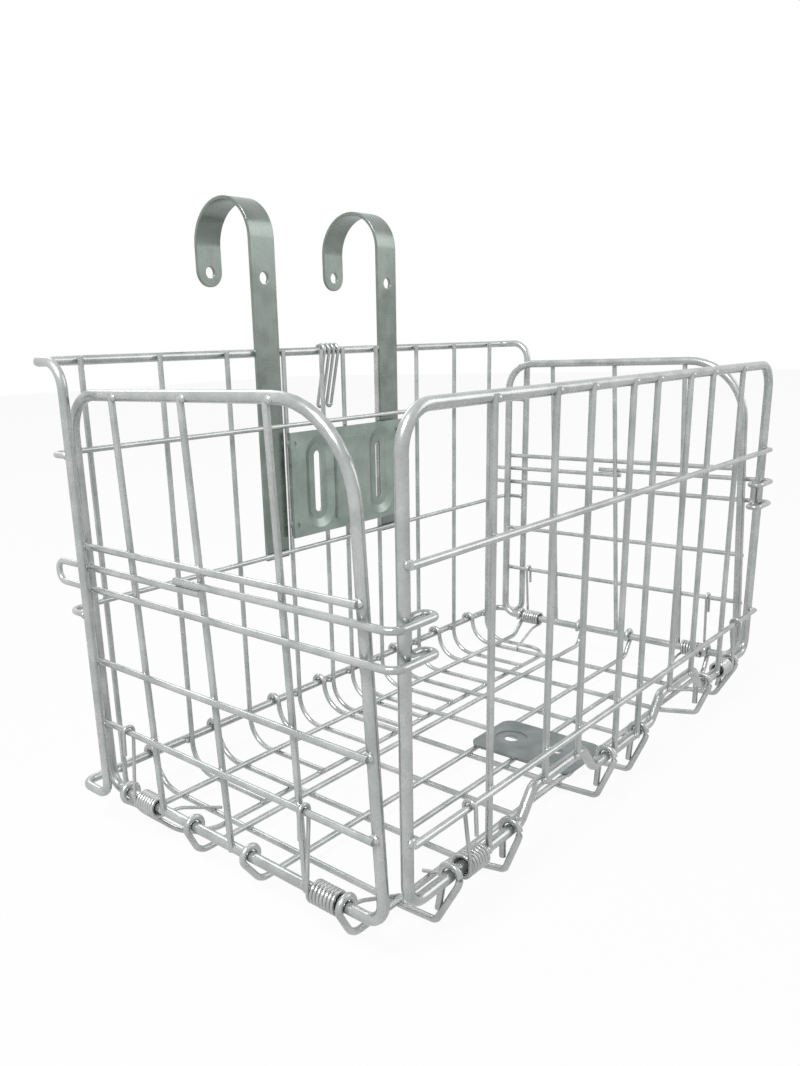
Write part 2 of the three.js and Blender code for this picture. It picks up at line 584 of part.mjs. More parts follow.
{
  const beside = WIRE_R + SPRING_R + 0.9;
  const lath = END_LATHS[2] - Z_END;
  const toLongWire = X_END - LONG_X[3];
  const floorLeg = [[toLongWire - 4, Z_CROSS - Z_END + 4.1], [COIL_R + 2.6, -COIL_R - 1.2]];
  const backFoot = END_UPRIGHTS[0][0] * Y_FOOT;
  const frontFoot = END_UPRIGHTS[2][0] * Y_FOOT;
  for (const [name, side, start, way] of [
    ['left_spring_back', -1, backFoot + beside + 2.2, 1],
    ['left_spring_front', -1, frontFoot - beside, -1],
    ['right_spring_back', 1, beside - frontFoot, 1],
    ['right_spring_front', 1, frontFoot - beside, -1],
  ]) {
    const rail = V(side * X_END, start, Z_END);
    add(name, spring(rail, V(0, way, 0), V(-side, 0, 0), floorLeg, lath), SPRING);
  }

  const drop = Z_FRONT - Z_CROSS;
  const frontLeg = [[CROSS_Y[3] - Y_FRONT + 4.4, 3.8 - drop], [COIL_R + 3.6, -COIL_R - 1.5]];
  const start = 0.7115 * X_POST + beside + 0.7;
  for (const [name, side] of [['front_spring_left', -1], ['front_spring_right', 1]]) {
    const along = X_AXIS.clone().multiplyScalar(side);
    const rail = V(side * start, Y_FRONT, Z_FRONT);
    add(name, spring(rail, along, Y_AXIS, frontLeg, FRONT_LATHS[1] - Z_FRONT), SPRING);
  }
}
console.log('springs: least gap of a coil to itself', leastGap.toFixed(2), 'mm');

// The basket is set on z = 0 with the middle of its footprint at the origin.
const bounds = new THREE.Box3().setFromObject(basket);
const middle = bounds.getCenter(V(0, 0, 0));
const shift = V(-middle.x, -middle.y, -bounds.min.z);
basket.children.forEach((piece) => piece.position.copy(shift));
const triangles = basket.children.reduce((sum, { geometry }) => (
  sum + (geometry.index ?? geometry.attributes.position).count / 3), 0);
const figures = (v) => v.toArray().map((c) => c.toFixed(3)).join(' ');
console.log('shift', figures(shift), 'size', figures(bounds.getSize(V(0, 0, 0))));
console.log('triangles', triangles, 'pieces', basket.children.length);

export default basket;
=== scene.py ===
import math

import bpy
from mathutils import Matrix, Vector


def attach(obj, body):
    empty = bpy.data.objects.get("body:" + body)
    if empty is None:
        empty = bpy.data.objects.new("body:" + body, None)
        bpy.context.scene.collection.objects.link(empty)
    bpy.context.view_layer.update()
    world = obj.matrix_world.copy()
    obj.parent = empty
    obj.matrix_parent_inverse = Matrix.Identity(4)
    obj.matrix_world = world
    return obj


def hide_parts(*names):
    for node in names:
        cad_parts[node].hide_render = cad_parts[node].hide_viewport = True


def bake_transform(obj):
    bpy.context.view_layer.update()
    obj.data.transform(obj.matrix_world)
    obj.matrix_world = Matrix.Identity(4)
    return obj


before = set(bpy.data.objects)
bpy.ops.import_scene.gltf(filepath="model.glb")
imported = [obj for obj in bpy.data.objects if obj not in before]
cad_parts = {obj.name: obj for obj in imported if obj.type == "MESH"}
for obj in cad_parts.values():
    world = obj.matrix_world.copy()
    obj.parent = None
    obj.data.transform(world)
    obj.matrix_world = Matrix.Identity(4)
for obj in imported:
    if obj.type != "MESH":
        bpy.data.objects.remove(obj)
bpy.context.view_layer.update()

# Wire and strip stock
FRAME_R = 2.5
BACK_R = 2.25
WIRE_R = 1.5
BACK_WIRE_R = 1.4
KEEPER_R = 1.0
SHEET_T = 1.5
STRAP_T = 2.0
STRAP_W = 18.0

# Places of the panels
TO_ROW_FRAME = Vector((0, -18.601, 21.0))
X_END = 185.0
X_POST = 179.2
X_LATCH = 189.7
X_SIDE = 194.0
Y_FOOT = 91.0
Y_FRONT = -97.5
Y_BACK = 100.0
Y_SIDE = 77.0
Z_FRONT = 8.0
Z_TOP_FRONT = 190.0
Z_TOP_END = 193.0
Z_TOP_BACK = 208.0
Z_CROSS = -14.1
Z_LONG = -16.5
Z_FOOT = -17.4
Z_BAR = -19.6
UPRIGHT_OUT = 1.6
LATH_OUT = 4.1
TIP_LAP = 1.0

# Weld nuggets: where wires cross, at a rail, at a post and on the thin back wires
CROSS_WELD = 1.9
RAIL_WELD = 1.8
POST_WELD = 2.1
BACK_WELD = 1.7
# A nugget at a rail sits beside its upright, before the rail and a little off its middle
RAIL_WELD_OUT = 2.3
RAIL_WELD_OFF = 0.8
TOP_WELD_ASIDE = 1.9
FOOT_WELD_ASIDE = 1.6

ALONG_X = Vector((1, 0, 0))
ALONG_Y = Vector((0, 1, 0))
UP = Vector((0, 0, 1))


def row(place):
    """A place in millimetres as a point of the row frame, in metres."""
    return (Vector(place) + TO_ROW_FRAME) / 1000


def both(x):
    return (-x, x)


# Picking and finishing

# Edges below this angle, in degrees, are shaded smooth
SMOOTH_BELOW = 50


def pick(*pieces):
    bpy.ops.object.select_all(action="DESELECT")
    for piece in pieces:
        piece.select_set(True)
    bpy.context.view_layer.objects.active = pieces[0]


def edit(piece):
    pick(piece)
    bpy.ops.object.mode_set(mode="EDIT")
    bpy.ops.mesh.select_all(action="DESELECT")


def leave():
    bpy.ops.object.mode_set(mode="OBJECT")


def choose(piece, wanted):
    """Selects the vertices of a piece in edit mode whose place passes a test."""
    leave()
    for part in (piece.data.polygons, piece.data.edges, piece.data.vertices):
        for item in part:
            item.select = False
    for vertex in piece.data.vertices:
        vertex.select = wanted(vertex.co)
    bpy.ops.object.mode_set(mode="EDIT")
    bpy.ops.mesh.select_mode(type="VERT")


def set_down(piece):
    """Puts a piece's turn, scale and place into its mesh."""
    pick(piece)
    bpy.ops.object.transform_apply(location=True, rotation=True, scale=True)


def apply_all(piece):
    pick(piece)
    for modifier in list(piece.modifiers):
        bpy.ops.object.modifier_apply(modifier=modifier.name)


def join(pieces):
    pick(*pieces)
    bpy.ops.object.join()
    return bpy.context.view_layer.objects.active


def boolean(piece, tools, operation):
    for tool in tools:
        change = piece.modifiers.new("join_or_cut", "BOOLEAN")
        change.operation = operation
        change.solver = "EXACT"
        change.object = tool
        apply_all(piece)
        bpy.data.objects.remove(tool)


def soften(piece, width, segments=2, from_angle=40):
    edge = piece.modifiers.new("soft_edges", "BEVEL")
    edge.width = width / 1000
    edge.segments = segments
    edge.limit_method = "ANGLE"
    edge.angle_limit = math.radians(from_angle)
    apply_all(piece)


def smooth(piece):
    pick(piece)
    bpy.ops.object.shade_smooth_by_angle(angle=math.radians(SMOOTH_BELOW))


def even_out(piece):
    """Keeps flat faces flat in the shading, beside bends and holes."""
    flat = piece.modifiers.new("flat_faces", "WEIGHTED_NORMAL")
    flat.keep_sharp = True
    apply_all(piece)


def dress(piece, name, finish):
    smooth(piece)
    piece.name = name
    piece.data.materials.clear()
    piece.data.materials.append(finish)


def stand_for(piece, node, body):
    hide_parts(node)
    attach(piece, body)


# Wires

# The largest turn between two points of a bend, in degrees
BEND_STEP = 9
WIRE_ROUNDNESS = 4
TIP_ROUNDING = 0.55


def bent(corners, closed=False):
    """The centre line of a bent wire, from corners given as (x, y, z, bend radius)."""
    line = []
    count = len(corners)
    for i, corner in enumerate(corners):
        here = Vector(corner[:3])
        radius = corner[3] if len(corner) > 3 else 0
        if radius == 0 or (not closed and i in (0, count - 1)):
            line.append(here)
            continue
        back = (Vector(corners[i - 1][:3]) - here).normalized()
        on = (Vector(corners[(i + 1) % count][:3]) - here).normalized()
        opening = back.angle(on)
        reach = radius / math.tan(opening / 2)
        centre = here + (back + on).normalized() * (radius / math.sin(opening / 2))
        first = here + back * reach - centre
        last = here + on * reach - centre
        axis = first.cross(last).normalized()
        turn = math.pi - opening
        steps = max(3, math.ceil(math.degrees(turn) / BEND_STEP))
        for k in range(steps + 1):
            line.append(Matrix.Rotation(turn * k / steps, 3, axis) @ first + centre)
    return line


def arc(centre, u, w, radius, start, end, steps):
    """Points of an arc between two angles in degrees, in the plane of u and w."""
    points = []
    for k in range(steps + 1):
        t = math.radians(start + (end - start) * k / steps)
        points.append(Vector(centre) + u * (radius * math.cos(t)) + w * (radius * math.sin(t)))
    return points


def draw_wire(points, radius, closed=False):
    """One round wire along a centre line; its cut ends are rounded over."""
    line = bpy.data.curves.new("wire", "CURVE")
    line.dimensions = "3D"
    line.bevel_depth = radius / 1000
    line.bevel_resolution = WIRE_ROUNDNESS
    line.use_fill_caps = not closed
    spline = line.splines.new("POLY")
    spline.points.add(len(points) - 1)
    for knot, place in zip(spline.points, points):
        knot.co = (*row(place), 1)
    spline.use_cyclic_u = closed
    wire = bpy.data.objects.new("wire", line)
    bpy.context.collection.objects.link(wire)
    pick(wire)
    bpy.ops.object.convert(target="MESH")
    wire = bpy.context.view_layer.objects.active
    if not closed:
        edit(wire)
        bpy.ops.mesh.select_mode(type="FACE")
        bpy.ops.mesh.select_face_by_sides(number=4, type="GREATER")
        bpy.ops.mesh.bevel(offset=TIP_ROUNDING * radius / 1000, segments=3, affect="EDGES")
        leave()
    return wire


def draw_bent(corners, radius, closed=False):
    return draw_wire(bent(corners, closed), radius, closed)


def make_nugget():
    """A weld nugget: a ball pressed flat, with a low uneven collar."""
    bpy.ops.object.select_all(action="DESELECT")
    bpy.ops.mesh.primitive_ico_sphere_add(subdivisions=3, radius=1)
    nugget = bpy.context.view_layer.objects.active
    edit(nugget)
    bpy.ops.mesh.select_all(action="SELECT")
    bpy.ops.transform.vertex_random(offset=0.06, seed=4)
    bpy.ops.transform.resize(value=(1, 0.8, 0.62))
    choose(nugget, lambda p: abs(p.z) < 0.2)
    bpy.ops.transform.resize(value=(1.14, 1.14, 1))
    leave()
    return nugget


NUGGET = make_nugget()


def weld_at(place, facing, size):
    """A copy of the nugget at a crossing, its flat side facing the given way."""
    nugget = NUGGET.copy()
    nugget.data = NUGGET.data.copy()
    bpy.context.collection.objects.link(nugget)
    turn = facing.to_track_quat("Z", "Y").to_matrix().to_4x4()
    scale = Matrix.Scale(size / 1000, 4)
    nugget.data.transform(Matrix.Translation(row(place)) @ turn @ scale)
    return nugget


def flipped(piece):
    """Mirrors a piece across the basket's middle and turns its faces outwards again."""
    piece.data.transform(Matrix.Scale(-1, 4, ALONG_X))
    piece.data.flip_normals()
    return piece


def mirrored(piece):
    copy = piece.copy()
    copy.data = piece.data.copy()
    bpy.context.collection.objects.link(copy)
    return flipped(copy)


# Finishes

CLOUD_SCALE = 70
SPECK_SCALE = 420
DRAWN_SHARE = 0.5
SPOT_SHARE = 0.25
RELIEF = 0.03
RELIEF_DEPTH = 0.0003
# Where nearly all values of a noise lie
NOISE_LOW = 0.3
NOISE_HIGH = 0.7


def node(tree, kind, **values):
    made = tree.nodes.new(kind)
    for name, value in values.items():
        setattr(made, name, value)
    return made


def noise(tree, place, scale, detail, roughness=0.55, squeeze=(1, 1, 1)):
    """A noise on Object coordinates; along an axis with a small squeeze its grain is long."""
    mapping = node(tree, "ShaderNodeMapping")
    mapping.inputs["Scale"].default_value = squeeze
    tree.links.new(place, mapping.inputs["Vector"])
    grain = node(tree, "ShaderNodeTexNoise")
    grain.inputs["Scale"].default_value = scale
    grain.inputs["Detail"].default_value = detail
    grain.inputs["Roughness"].default_value = roughness
    tree.links.new(mapping.outputs["Vector"], grain.inputs["Vector"])
    return grain.outputs["Fac"]


def ramp(tree, value, stops):
    """A colour ramp over a value, from (position, colour) stops."""
    colours = node(tree, "ShaderNodeValToRGB")
    elements = colours.color_ramp.elements
    while len(elements) < len(stops):
        elements.new(0.5)
    for element, (position, colour) in zip(elements, stops):
        element.position = position
        element.color = (*colour, 1)
    tree.links.new(value, colours.inputs["Fac"])
    return colours.outputs["Color"]


def between(tree, value, low, high):
    """Maps a noise value to a range."""
    spread = node(tree, "ShaderNodeMapRange")
    spread.inputs["From Min"].default_value = NOISE_LOW
    spread.inputs["From Max"].default_value = NOISE_HIGH
    spread.inputs["To Min"].default_value = low
    spread.inputs["To Max"].default_value = high
    tree.links.new(value, spread.inputs["Value"])
    return spread.outputs["Result"]


def multiply(tree, first, second, share):
    mix = node(tree, "ShaderNodeMix", data_type="RGBA", blend_type="MULTIPLY")
    mix.inputs["Factor"].default_value = share
    tree.links.new(first, mix.inputs[6])
    tree.links.new(second, mix.inputs[7])
    return mix.outputs[2]


def plated(name, dark, light, metallic, rough, squeeze=(1, 1, 1), grain=900):
    """A plated steel: cloudy colour, fine specks, uneven gloss and a faint relief."""
    finish = bpy.data.materials.new(name)
    finish.use_nodes = True
    tree = finish.node_tree
    shader = tree.nodes["Principled BSDF"]
    place = node(tree, "ShaderNodeTexCoord").outputs["Object"]
    clouds = noise(tree, place, CLOUD_SCALE, 4)
    fine = noise(tree, place, grain, 6, 0.7, squeeze)
    specks = noise(tree, place, SPECK_SCALE, 2)
    colour = ramp(tree, clouds, [(0.32, dark), (0.68, light)])
    drawn = ramp(tree, fine, [(0.3, (0.78, 0.79, 0.78)), (0.55, (1, 1, 1))])
    spots = ramp(tree, specks, [(0.26, (0.62, 0.63, 0.62)), (0.36, (1, 1, 1))])
    colour = multiply(tree, colour, drawn, DRAWN_SHARE)
    colour = multiply(tree, colour, spots, SPOT_SHARE)
    tree.links.new(colour, shader.inputs["Base Color"])
    tree.links.new(between(tree, clouds, *rough), shader.inputs["Roughness"])
    shader.inputs["Metallic"].default_value = metallic
    bump = node(tree, "ShaderNodeBump")
    bump.inputs["Strength"].default_value = RELIEF
    bump.inputs["Distance"].default_value = RELIEF_DEPTH
    tree.links.new(fine, bump.inputs["Height"])
    tree.links.new(bump.outputs["Normal"], shader.inputs["Normal"])
    return finish


# Every finish below is grey plated steel with a greenish tint in its base colours; the tint is a
# painted reflection of green surroundings
ZINC = plated("zinc_plated_wire_and_painted_green_reflection", (0.36, 0.38, 0.372), (0.51, 0.525, 0.518), 0.65, (0.2, 0.32))
# Sheet and strip are drawn along one axis, so their grain is long there
STRIP = plated(
    "zinc_plated_sheet_and_painted_green_reflection", (0.248, 0.302, 0.273), (0.354, 0.415, 0.386), 0.6, (0.26, 0.44),
    squeeze=(1, 1, 0.06), grain=1500,
)
FLOOR_STRIP = plated(
    "zinc_plated_floor_sheet_and_painted_green_reflection", (0.158, 0.187, 0.185), (0.27, 0.303, 0.3), 0.65, (0.24, 0.42),
    squeeze=(1, 0.06, 1), grain=1500,
)
STRAP = plated(
    "zinc_plated_strip_and_painted_green_reflection", (0.18, 0.21, 0.195), (0.25, 0.285, 0.265), 0.75, (0.2, 0.34),
    squeeze=(1, 1, 0.06), grain=1500,
)
SPRING = plated("plated_spring_wire_and_painted_green_reflection", (0.38, 0.39, 0.385), (0.50, 0.51, 0.505), 0.7, (0.2, 0.34))

# Back panel

BACK_LATHS = (167.0, 93.0)
BACK_FEET_X = (9.5, 41.0, 83.07, 126.91)
BAR_X = 172.05
BAR_Y = 39.1
Y_UPRIGHT = 96.0
Y_LATH = 93.8
LATH_SHORT = 1.2
FOOT_LAP = 2
CORNER_BEND = 7
SHOULDER_BEND = 12
SILL_BEND = 8
FOOT_BEND = 16
BAR_BEND = 18
BACK_WELD_OUT = 2.2
BACK_WELD_DOWN = 0.6
BACK_TOP_ASIDE = 1.5
BACK_FOOT_ASIDE = 1.2


def make_back_frame():
    rail = draw_bent([
        (-X_SIDE, Y_BACK, Z_TOP_BACK, CORNER_BEND), (X_SIDE, Y_BACK, Z_TOP_BACK, CORNER_BEND),
        (X_SIDE, Y_SIDE, Z_TOP_BACK, SHOULDER_BEND), (X_SIDE, Y_SIDE, 0, SILL_BEND),
        (X_SIDE, Y_BACK, 0, CORNER_BEND), (-X_SIDE, Y_BACK, 0, CORNER_BEND),
        (-X_SIDE, Y_SIDE, 0, SILL_BEND), (-X_SIDE, Y_SIDE, Z_TOP_BACK, SHOULDER_BEND),
    ], BACK_R, closed=True)
    dress(rail, "back_rails", ZINC)
    stand_for(rail, "back_frame", "back")


def make_back_grid():
    top = Z_TOP_BACK + TIP_LAP
    wires = []
    for x in (x for pair in map(both, BACK_FEET_X) for x in pair):
        wires.append(draw_bent([
            (x, Y_UPRIGHT, top), (x, Y_UPRIGHT, Z_FOOT, FOOT_BEND), (x, BAR_Y - FOOT_LAP, Z_FOOT),
        ], BACK_WIRE_R))
    wires.append(draw_bent([
        (-BAR_X, Y_UPRIGHT, top), (-BAR_X, Y_UPRIGHT, Z_BAR, FOOT_BEND),
        (-BAR_X, BAR_Y, Z_BAR, BAR_BEND), (BAR_X, BAR_Y, Z_BAR, BAR_BEND),
        (BAR_X, Y_UPRIGHT, Z_BAR, FOOT_BEND), (BAR_X, Y_UPRIGHT, top),
    ], BACK_WIRE_R))
    end = Y_SIDE + LATH_SHORT
    for z in BACK_LATHS:
        wires.append(draw_bent([
            (-X_SIDE, end, z), (-X_SIDE, Y_LATH, z, CORNER_BEND),
            (X_SIDE, Y_LATH, z, CORNER_BEND), (X_SIDE, end, z),
        ], BACK_WIRE_R))
        for x in both(X_SIDE):
            wires.append(weld_at((x, end + LATH_SHORT, z), ALONG_Y, POST_WELD))
    for x in (x for pair in map(both, (*BACK_FEET_X, BAR_X)) for x in pair):
        for z in BACK_LATHS:
            wires.append(weld_at((x, (Y_UPRIGHT + Y_LATH) / 2, z), ALONG_Y, BACK_WELD))
        at_top = (x + BACK_TOP_ASIDE, Y_BACK - BACK_WELD_OUT, Z_TOP_BACK - BACK_WELD_DOWN)
        at_foot = (x - BACK_FOOT_ASIDE, Y_BACK - BACK_WELD_OUT, -BACK_WELD_DOWN)
        wires.append(weld_at(at_top, ALONG_Y, BACK_WELD))
        wires.append(weld_at(at_foot, ALONG_Y, BACK_WELD))
    for x in (x for pair in map(both, BACK_FEET_X) for x in pair):
        wires.append(weld_at((x, BAR_Y, (Z_FOOT + Z_BAR) / 2), UP, BACK_WELD))
    grid = join(wires)
    dress(grid, "back_wires", ZINC)
    stand_for(grid, "back_grid", "back")


# Floor

LONG_X = (18.5, 59.57, 108.04, 152.07)
# Where each long wire's bend at the front lies: inwards of the rail and above the floor's wires.
# The second wire has no eye there, because the rail is raised above it
FRONT_FEET = ((4.3, 1.0), None, (2.5, 4.0), (7.0, 1.0))
CROSS_Y = (71.89, 21.53, -16.65, -71.89)
# The angle on the rail at which each cross wire leaves its eye, in degrees
EYES_LEAVE_AT = (236, 210, 222, 214)
SHORT_Y = -40.95
SHORT_LAP = 2.5
LONG_LAP = 3
EYE_R = 4.4
BACK_EYE_R = 4.15
EYE_TIP_AT = -25
EYE_FOOT_BEND = 8
FLOOR_ON = 40


def end_eye(rail, inwards, leave_at):
    """An eye over an end's rail: its wire leaves it outside and slopes in to the floor."""
    ring = arc(rail, inwards, UP, EYE_R, EYE_TIP_AT, leave_at, steps=24)
    way = (ring[-1] - ring[-2]).normalized()
    foot = ring[-1] + way * ((Z_CROSS - ring[-1].z) / way.z)
    turn = bent([tuple(ring[-1]), (*foot, EYE_FOOT_BEND), tuple(foot + inwards * FLOOR_ON)])
    return ring + turn[1:-1]


def front_eye(rail, foot_in, foot_up):
    """An eye over the front's rail: the wire climbs outside and its tip comes back to the foot."""
    def at(u, w):
        return (rail[0], rail[1] + u, rail[2] + w)

    drop = Z_LONG - rail[2]
    ring = arc(rail, ALONG_Y, UP, EYE_R, 0, 180, steps=18)
    tip_end = at(0.5 * foot_in + 2.4, drop + foot_up + 6)
    tip_bend = (*at(3.7, -5), 14)
    climb_bend = (*at(-EYE_R, -2), 12)
    foot_bend = (*at(foot_in, drop + foot_up), 3.5)
    floor_bend = (*at(24, drop), 30)
    tip = bent([tip_end, tip_bend, tuple(ring[0])])
    climb = bent([tuple(ring[-1]), climb_bend, foot_bend, floor_bend, at(FLOOR_ON, drop)])
    return tip[:-1] + ring + climb[1:-1]


def make_floor():
    wires = []
    rise = -Z_LONG
    for x, foot in zip(LONG_X, FRONT_FEET):
        for side in both(x):
            if foot:
                line = front_eye((side, Y_FRONT, Z_FRONT), *foot)
            else:
                line = [Vector((side, CROSS_Y[3] - LONG_LAP, Z_LONG))]
            line += arc((side, Y_BACK - BACK_EYE_R - rise, 0), ALONG_Y, UP, rise, -90, 0, steps=12)
            line += arc((side, Y_BACK, 0), ALONG_Y, UP, BACK_EYE_R, 180, EYE_TIP_AT, steps=20)[1:]
            wires.append(draw_wire(line, WIRE_R))
            for y in (*CROSS_Y, SHORT_Y):
                if y != SHORT_Y or x <= LONG_X[2]:
                    wires.append(weld_at((side, y, (Z_LONG + Z_CROSS) / 2), UP, CROSS_WELD))
    for y, leave_at in zip(CROSS_Y, EYES_LEAVE_AT):
        left = end_eye((-X_END, y, 0), ALONG_X, leave_at)
        right = end_eye((X_END, y, 0), -ALONG_X, leave_at)
        wires.append(draw_wire(left + right[::-1], WIRE_R))
    end = LONG_X[2] + SHORT_LAP
    short = [Vector((x, SHORT_Y, Z_CROSS)) for x in both(end)]
    wires.append(draw_wire(short, WIRE_R))
    tray = join(wires)
    dress(tray, "floor_wires", ZINC)
    stand_for(tray, "floor_tray", "back")


# Front panel

FRONT_LATHS = (139.0, 36.0)
# Each upright's distance from the middle, and how far its foot is raised with the rail
FRONT_UPRIGHTS = ((12.99, 0.0), (52.53, 13.0), (82.53, 13.0), (127.5, 0.0))
# The corners of the raised stretch of the rail: distance from the middle, and rise
LIFT = ((33.0, 0.0), (45.0, 13.0), (90.0, 13.0), (101.0, 0.0))
LIFT_BEND = 7
FRONT_FOOT_BEND = 9
FRONT_TOP_BEND = 15


def make_front():
    lift = [(x, Y_FRONT, Z_FRONT + up, LIFT_BEND) for x, up in LIFT]
    other = [(-x, y, z, r) for x, y, z, r in reversed(lift)]
    rails = draw_bent([
        (-X_POST, Y_FRONT, Z_TOP_FRONT, FRONT_TOP_BEND),
        (-X_POST, Y_FRONT, Z_FRONT, FRONT_FOOT_BEND),
        *other, *lift,
        (X_POST, Y_FRONT, Z_FRONT, FRONT_FOOT_BEND),
        (X_POST, Y_FRONT, Z_TOP_FRONT, FRONT_TOP_BEND),
    ], FRAME_R, closed=True)
    dress(rails, "front_rails", ZINC)
    stand_for(rails, "front_frame", "front")

    wires = []
    y = Y_FRONT - UPRIGHT_OUT
    y_lath = Y_FRONT - LATH_OUT
    y_weld = Y_FRONT - RAIL_WELD_OUT
    for x, up in FRONT_UPRIGHTS:
        for side in both(x):
            foot = Z_FRONT + up
            line = [Vector((side, y, foot - TIP_LAP)), Vector((side, y, Z_TOP_FRONT + TIP_LAP))]
            wires.append(draw_wire(line, WIRE_R))
            at_top = (side + TOP_WELD_ASIDE, y_weld, Z_TOP_FRONT - RAIL_WELD_OFF)
            at_foot = (side - FOOT_WELD_ASIDE, y_weld, foot + RAIL_WELD_OFF)
            wires.append(weld_at(at_top, ALONG_Y, RAIL_WELD))
            wires.append(weld_at(at_foot, ALONG_Y, RAIL_WELD))
            for z in FRONT_LATHS:
                wires.append(weld_at((side, (y + y_lath) / 2, z), ALONG_Y, CROSS_WELD))
    for z in FRONT_LATHS:
        line = [Vector((x, y_lath, z)) for x in both(X_POST + TIP_LAP)]
        wires.append(draw_wire(line, WIRE_R))
        for x in both(X_POST):
            wires.append(weld_at((x, y_lath + WIRE_R, z), ALONG_Y, POST_WELD))
    grid = join(wires)
    dress(grid, "front_wires", ZINC)
    stand_for(grid, "front_grid", "front")


# End panels

END_POST_Y = 86.5
END_LEAN = 10.0
END_LATHS = (125.06, 69.0, 37.0)
# Each upright's place at its foot and at its top
END_UPRIGHTS = ((42.32, 51.87), (-6.37, 5.0), (-51.87, -43.23))
END_FOOT_BEND = 9
END_BACK_BEND = 18
END_FRONT_BEND = 38
LATCH_LOW = 105.0
LATCH_HIGH_BACK = 115.35
LATCH_HIGH_FRONT = 118.65
# The loop goes round the front's post, clear of its middle, with a turned-in tip
LATCH_CLEAR = 4.5
LATCH_GAP = 6.4
LATCH_TIP = 9
LATCH_PAST = 6
# The loop's wire begins and ends in its upper run, one end below the other
LATCH_START_Y = -2
LATCH_END_Y = 14
LATCH_BEND = 5
LATCH_TIP_BEND = 3.1
LATCH_INNER_BEND = 3.5


def make_end_frame():
    return draw_bent([
        (-X_END, -Y_FOOT, 0, END_FOOT_BEND), (-X_END, END_POST_Y, 0, END_FOOT_BEND),
        (-X_END, END_POST_Y, Z_TOP_END, END_BACK_BEND),
        (-X_END, END_LEAN - Y_FOOT, Z_TOP_END, END_FRONT_BEND),
    ], FRAME_R, closed=True)


def make_end_grid(upper_tip):
    """The left end's grid; its upper cross wire's tip lies this far inwards of the leaning post."""
    x_upright = -X_END - UPRIGHT_OUT
    x_lath = -X_END - LATH_OUT
    x_weld = -X_END - RAIL_WELD_OUT
    wires = []
    for foot, top in END_UPRIGHTS:
        line = [Vector((x_upright, foot, -TIP_LAP)), Vector((x_upright, top, Z_TOP_END + TIP_LAP))]
        wires.append(draw_wire(line, WIRE_R))
        at_foot = (x_weld, foot + FOOT_WELD_ASIDE, RAIL_WELD_OFF)
        at_top = (x_weld, top - TOP_WELD_ASIDE, Z_TOP_END - RAIL_WELD_OFF)
        wires.append(weld_at(at_foot, ALONG_X, RAIL_WELD))
        wires.append(weld_at(at_top, ALONG_X, RAIL_WELD))
        for z in END_LATHS:
            y = foot + (top - foot) * z / Z_TOP_END
            wires.append(weld_at(((x_upright + x_lath) / 2, y, z), ALONG_X, CROSS_WELD))
    for z in END_LATHS:
        lean = END_LEAN * z / Z_TOP_END - Y_FOOT
        tip = upper_tip if z == END_LATHS[0] else -TIP_LAP
        line = [Vector((x_lath, END_POST_Y + TIP_LAP, z)), Vector((x_lath, lean + tip, z))]
        wires.append(draw_wire(line, WIRE_R))
        wires.append(weld_at((x_lath + WIRE_R, END_POST_Y, z), ALONG_X, POST_WELD))
        if tip < 0:
            wires.append(weld_at((x_lath + WIRE_R, lean, z), ALONG_X, POST_WELD))
    return join(wires)


def make_latch():
    before = Y_FRONT - LATCH_CLEAR
    behind = before + LATCH_GAP
    inner = -X_POST + LATCH_CLEAR
    tip = inner + LATCH_TIP
    back = Y_BACK + LATCH_PAST
    return draw_bent([
        (-X_LATCH, LATCH_START_Y, LATCH_HIGH_BACK), (-X_LATCH, back, LATCH_HIGH_BACK, LATCH_BEND),
        (-X_LATCH, back, LATCH_LOW, LATCH_BEND), (-X_LATCH, before, LATCH_LOW, LATCH_BEND),
        (tip, before, LATCH_LOW, LATCH_TIP_BEND), (tip, behind, LATCH_LOW, LATCH_TIP_BEND),
        (inner, behind, LATCH_LOW, LATCH_INNER_BEND),
        (inner, behind, LATCH_HIGH_FRONT, LATCH_INNER_BEND),
        (tip, behind, LATCH_HIGH_FRONT, LATCH_TIP_BEND),
        (tip, before, LATCH_HIGH_FRONT, LATCH_TIP_BEND),
        (-X_LATCH, before, LATCH_HIGH_FRONT, LATCH_BEND), (-X_LATCH, LATCH_END_Y, LATCH_HIGH_FRONT),
    ], WIRE_R)


def make_ends():
    rails = make_end_frame()
    latch = make_latch()
    for side, word, node, piece in (
        ("left", "rails", "frame", rails), ("right", "rails", "frame", mirrored(rails)),
        ("left", "latch_loop", "latch", latch), ("right", "latch_loop", "latch", mirrored(latch)),
        ("left", "wires", "grid", make_end_grid(-TIP_LAP)),
        ("right", "wires", "grid", flipped(make_end_grid(FRAME_R))),
    ):
        dress(piece, f"{side}_{word}", ZINC)
        stand_for(piece, f"{side}_{node}", f"{side}_end")


# Keeper bail

KEEPER_PLAY = 0.35
KEEPER_DROP = 31
KEEPER_OUTER = 6
KEEPER_INNER = 1.9
KEEPER_TIP_AT = -10


def make_keeper():
    ring = BACK_R + KEEPER_R + KEEPER_PLAY
    z_low = Z_TOP_BACK - KEEPER_DROP

    def over(x, start, end):
        return arc((x, Y_BACK, Z_TOP_BACK), ALONG_Y, UP, ring, start, end, steps=16)

    def end(xa, xb):
        middle = ((xa + xb) / 2, Y_BACK + ring, z_low)
        return arc(middle, ALONG_X, UP, (xb - xa) / 2, 180, 360, steps=12)

    line = over(-KEEPER_OUTER, KEEPER_TIP_AT, 180) + end(-KEEPER_OUTER, -KEEPER_INNER)
    line += over(-KEEPER_INNER, 180, 0) + over(KEEPER_INNER, 0, 180)
    line += end(KEEPER_INNER, KEEPER_OUTER) + over(KEEPER_OUTER, 180, KEEPER_TIP_AT)
    bail = draw_wire(line, KEEPER_R)
    dress(bail, "keeper_bail", ZINC)
    stand_for(bail, "keeper", "keeper")


# Springs

COIL_R = 4.4
COIL_LENGTH = 13.5
COIL_TURNS = 7.25
COIL_STEPS = 24
COIL_WIRE_R = 0.87
FRONT_COIL_X = 131.5
